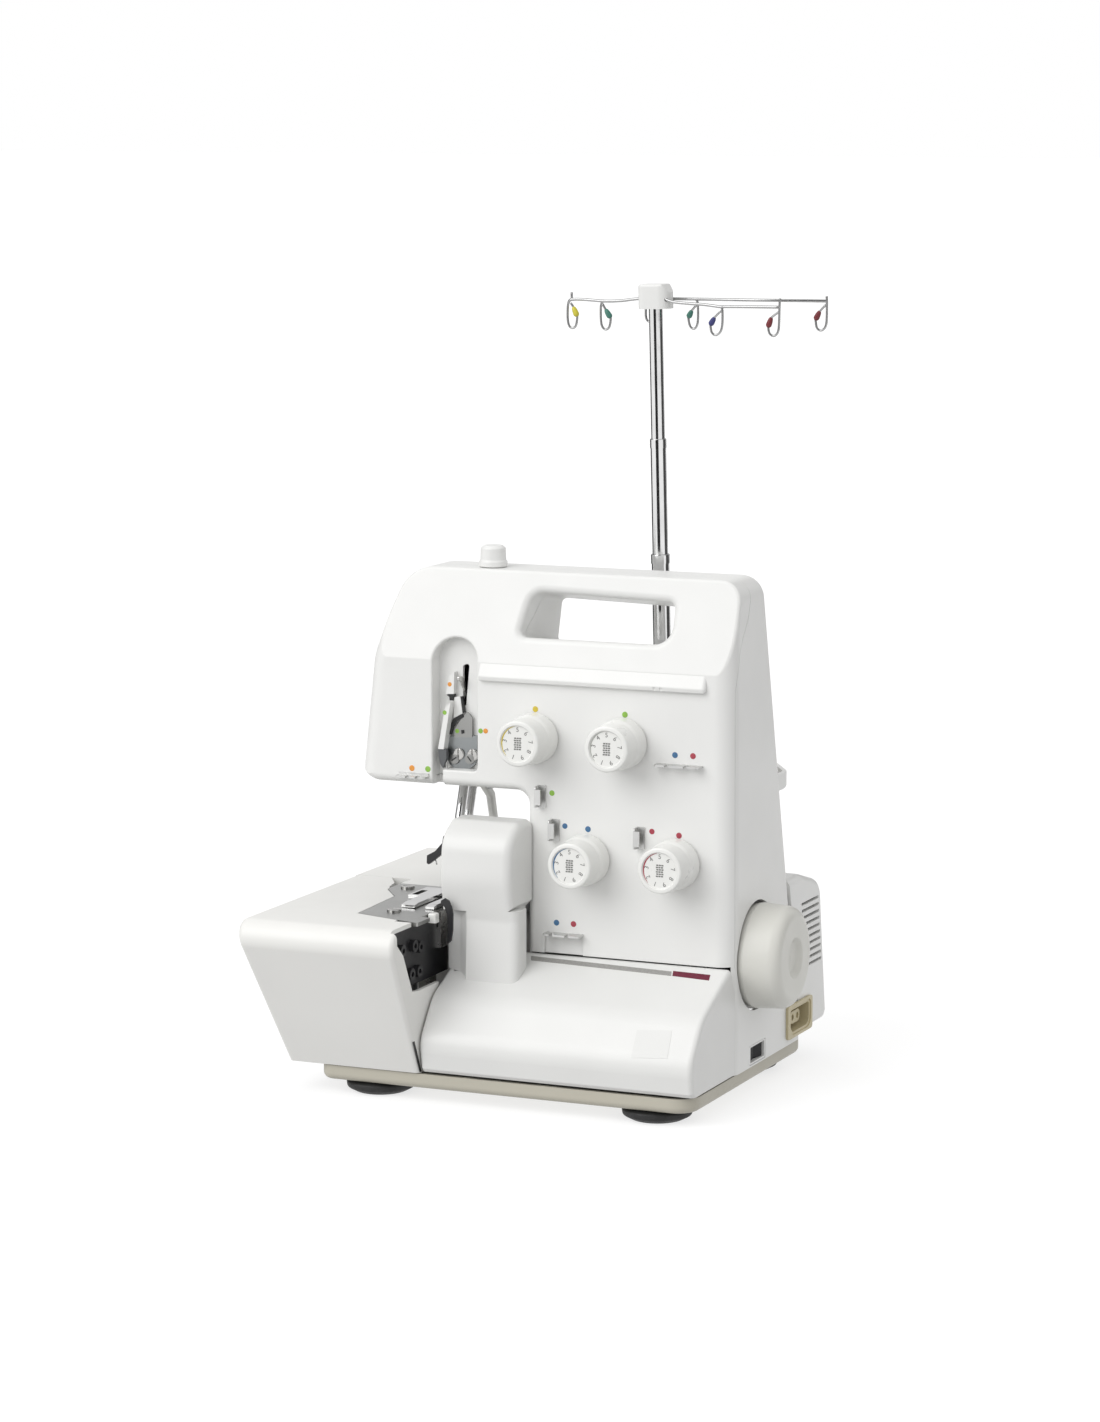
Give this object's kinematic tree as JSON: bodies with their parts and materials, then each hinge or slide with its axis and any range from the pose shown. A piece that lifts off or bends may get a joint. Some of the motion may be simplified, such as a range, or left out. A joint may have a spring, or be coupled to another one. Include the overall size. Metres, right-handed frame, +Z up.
{
  "type": "overlock sewing machine",
  "caption": "Home overlock (serger) machine: white casing with carrying handle, tension dials, knife guard, swing-away cloth plate and telescopic thread mast; trims and overcasts cloth edges.",
  "frame": {"origin": "centre of the bounding box in plan, on the table under the rubber feet", "axes": "+Z up; front (dial panel) towards -Y; handwheel side towards +X"},
  "size_m": [0.2952, 0.2658, 0.4686],
  "materials": {
    "casing_white": "satin",
    "bed_white": "satin",
    "base_grey": "matte",
    "wheel_white": "satin",
    "dial_white": "gloss",
    "inlet_beige": "matte",
    "black_plastic": "satin",
    "foot_rubber": "matte",
    "belt_rubber": "matte",
    "cast_alloy": "cast",
    "steel": "brushed",
    "chrome": "polished",
    "bronze": "machined",
    "black_metal": "satin",
    "motor_paint": "satin"
  },
  "bodies": {
    "chassis": {"base_pan": "base_grey", "rubber_feet": "foot_rubber", "front_cover": "casing_white", "rear_cover": "casing_white", "machine_frame": "cast_alloy", "shaft_bushes": "bronze", "motor": "motor_paint", "drive_belt": "belt_rubber", "motor_cover": "casing_white", "power_inlet": "inlet_beige", "switch_frame": "casing_white", "bed_cover": "bed_white", "needle_plate": "steel", "knife_bracket": "black_metal", "lower_knife": "steel", "pivot_pins": "steel", "needle_thread_plate": "steel", "thread_rail": "casing_white", "thread_guides": "steel", "tension_units": "steel", "coil_springs": "steel", "brackets": "cast_alloy", "looper_bay_plate": "steel", "spool_stand": "casing_white", "spool_pins": "chrome", "spool_rests": "base_grey", "mast_lower_tube": "chrome", "screws": "steel"},
    "drive": {"main_shaft": "steel", "handwheel": "wheel_white", "main_pulley": "black_plastic"},
    "motor_rotor": {"motor_pulley": "steel"},
    "rocker": {"power_rocker": "black_plastic"},
    "dial_1": {"tension_dial_1": "dial_white"},
    "dial_2": {"tension_dial_2": "dial_white"},
    "dial_3": {"tension_dial_3": "dial_white"},
    "dial_4": {"tension_dial_4": "dial_white"},
    "pressure": {"pressure_knob": "casing_white"},
    "needle_group": {"needle_bar": "chrome", "needle_clamp": "steel", "needle": "chrome"},
    "take_up": {"take_up_lever": "steel"},
    "looper_upper": {"upper_looper": "steel"},
    "looper_lower": {"lower_looper": "steel"},
    "knife_upper": {"upper_knife": "steel"},
    "feed": {"feed_dogs": "steel"},
    "presser": {"presser_bar": "chrome", "presser_foot": "chrome"},
    "lifter": {"presser_lifter": "casing_white"},
    "finger_knob": {"stitch_finger_knob": "casing_white"},
    "cover_slide_rod": {"cover_rod": "steel"},
    "cover": {"looper_cover": "casing_white", "knife_guard": "casing_white"},
    "cloth_table": {"cloth_plate": "bed_white"},
    "mast_mid": {"mast_middle_tube": "chrome"},
    "mast_top": {"mast_upper_tube": "chrome", "mast_hub": "casing_white", "thread_guide_wires": "chrome"},
    "length_dial": {"stitch_length_dial": "base_grey"},
    "feed_set": {"feed_lever": "base_grey"}
  },
  "joints": [
    {"name": "handwheel_turn", "type": "hinge", "parent": "chassis", "child": "drive", "pos_m": [0.12423, 0.0039, 0.0825], "axis": [1, 0, 0], "continuous": true},
    {"name": "motor_spin", "type": "hinge", "parent": "chassis", "child": "motor_rotor", "pos_m": [0.12423, 0.0804, 0.072], "axis": [1, 0, 0], "continuous": true},
    {"name": "power_rock", "type": "hinge", "parent": "chassis", "child": "rocker", "pos_m": [0.11723, 0.0049, 0.0252], "axis": [0, 0, 1], "range_deg": [0, 10]},
    {"name": "tension_turn_1", "type": "hinge", "parent": "chassis", "child": "dial_1", "pos_m": [0.00073, -0.0486, 0.2087], "axis": [0, 1, 0], "range_deg": [-150, 150]},
    {"name": "tension_turn_2", "type": "hinge", "parent": "chassis", "child": "dial_2", "pos_m": [0.05623, -0.0486, 0.209], "axis": [0, 1, 0], "range_deg": [-150, 150]},
    {"name": "tension_turn_3", "type": "hinge", "parent": "chassis", "child": "dial_3", "pos_m": [0.03323, -0.0486, 0.1395], "axis": [0, 1, 0], "range_deg": [-150, 150]},
    {"name": "tension_turn_4", "type": "hinge", "parent": "chassis", "child": "dial_4", "pos_m": [0.08923, -0.0486, 0.1409], "axis": [0, 1, 0], "range_deg": [-150, 150]},
    {"name": "pressure_turn", "type": "hinge", "parent": "chassis", "child": "pressure", "pos_m": [-0.03827, -0.0096, 0.31], "axis": [0, 0, 1], "range_deg": [-180, 180]},
    {"name": "needle_stroke", "type": "slide", "parent": "chassis", "child": "needle_group", "axis": [0, 0.3375, 0.9413], "range_m": [-0.012, 0.012]},
    {"name": "take_up_swing", "type": "hinge", "parent": "chassis", "child": "take_up", "pos_m": [-0.04977, -0.0141, 0.212], "axis": [1, 0, 0], "range_deg": [-5.5, 5.5]},
    {"name": "upper_looper_swing", "type": "hinge", "parent": "chassis", "child": "looper_upper", "pos_m": [-0.01377, -0.0186, 0.058], "axis": [0, 1, 0], "range_deg": [-5.5, 5.5]},
    {"name": "lower_looper_swing", "type": "hinge", "parent": "chassis", "child": "looper_lower", "pos_m": [-0.02577, -0.0306, 0.044], "axis": [0, 1, 0], "range_deg": [-5.5, 5.5]},
    {"name": "upper_knife_stroke", "type": "slide", "parent": "chassis", "child": "knife_upper", "axis": [0, 0, 1], "range_m": [-0.003, 0.003]},
    {"name": "feed_stroke", "type": "slide", "parent": "chassis", "child": "feed", "axis": [0, 1, 0], "range_m": [-0.002, 0.002]},
    {"name": "presser_lift", "type": "slide", "parent": "chassis", "child": "presser", "axis": [0, 0.3375, 0.9413], "range_m": [0, 0.006]},
    {"name": "lifter_swing", "type": "hinge", "parent": "chassis", "child": "lifter", "pos_m": [-0.06277, 0.0264, 0.1705], "axis": [1, 0, 0], "range_deg": [0, 45.5]},
    {"name": "finger_knob_slide", "type": "slide", "parent": "chassis", "child": "finger_knob", "axis": [0, 1, 0], "range_m": [0, 0.006]},
    {"name": "cover_shift", "type": "slide", "parent": "chassis", "child": "cover_slide_rod", "axis": [1, 0, 0], "range_m": [0, 0.009]},
    {"name": "cover_tip", "type": "hinge", "parent": "cover_slide_rod", "child": "cover", "pos_m": [0.03923, -0.0931, 0.0232], "axis": [1, 0, 0], "range_deg": [0, 70]},
    {"name": "cloth_plate_swing", "type": "hinge", "parent": "chassis", "child": "cloth_table", "pos_m": [-0.13777, 0.0134, 0.09], "axis": [0, 0, 1], "range_deg": [-85, 0]},
    {"name": "mast_mid_slide", "type": "slide", "parent": "chassis", "child": "mast_mid", "axis": [-0.0244, 0, 0.9997], "range_m": [-0.06, 0]},
    {"name": "mast_top_slide", "type": "slide", "parent": "mast_mid", "child": "mast_top", "axis": [-0.0244, 0, 0.9997], "range_m": [-0.068, 0]},
    {"name": "stitch_length_turn", "type": "hinge", "parent": "chassis", "child": "length_dial", "pos_m": [-0.13927, 0.0594, 0.062], "axis": [1, 0, 0], "range_deg": [-120, 120]},
    {"name": "feed_lever_slide", "type": "slide", "parent": "chassis", "child": "feed_set", "axis": [0, 1, 0], "range_m": [-0.006, 0.006]}
  ],
  "couplings": [
    {"joint": "motor_spin", "follows": "handwheel_turn", "ratio": 2.75},
    {"joint": "take_up_swing", "follows": "needle_stroke", "rad_per_m": -7.2722},
    {"joint": "upper_looper_swing", "follows": "needle_stroke", "rad_per_m": -7.2722},
    {"joint": "lower_looper_swing", "follows": "needle_stroke", "rad_per_m": 7.2722},
    {"joint": "upper_knife_stroke", "follows": "needle_stroke", "ratio": 0.22},
    {"joint": "feed_stroke", "follows": "needle_stroke", "ratio": 0.15},
    {"joint": "lifter_swing", "follows": "presser_lift", "rad_per_m": 130.9}
  ]
}
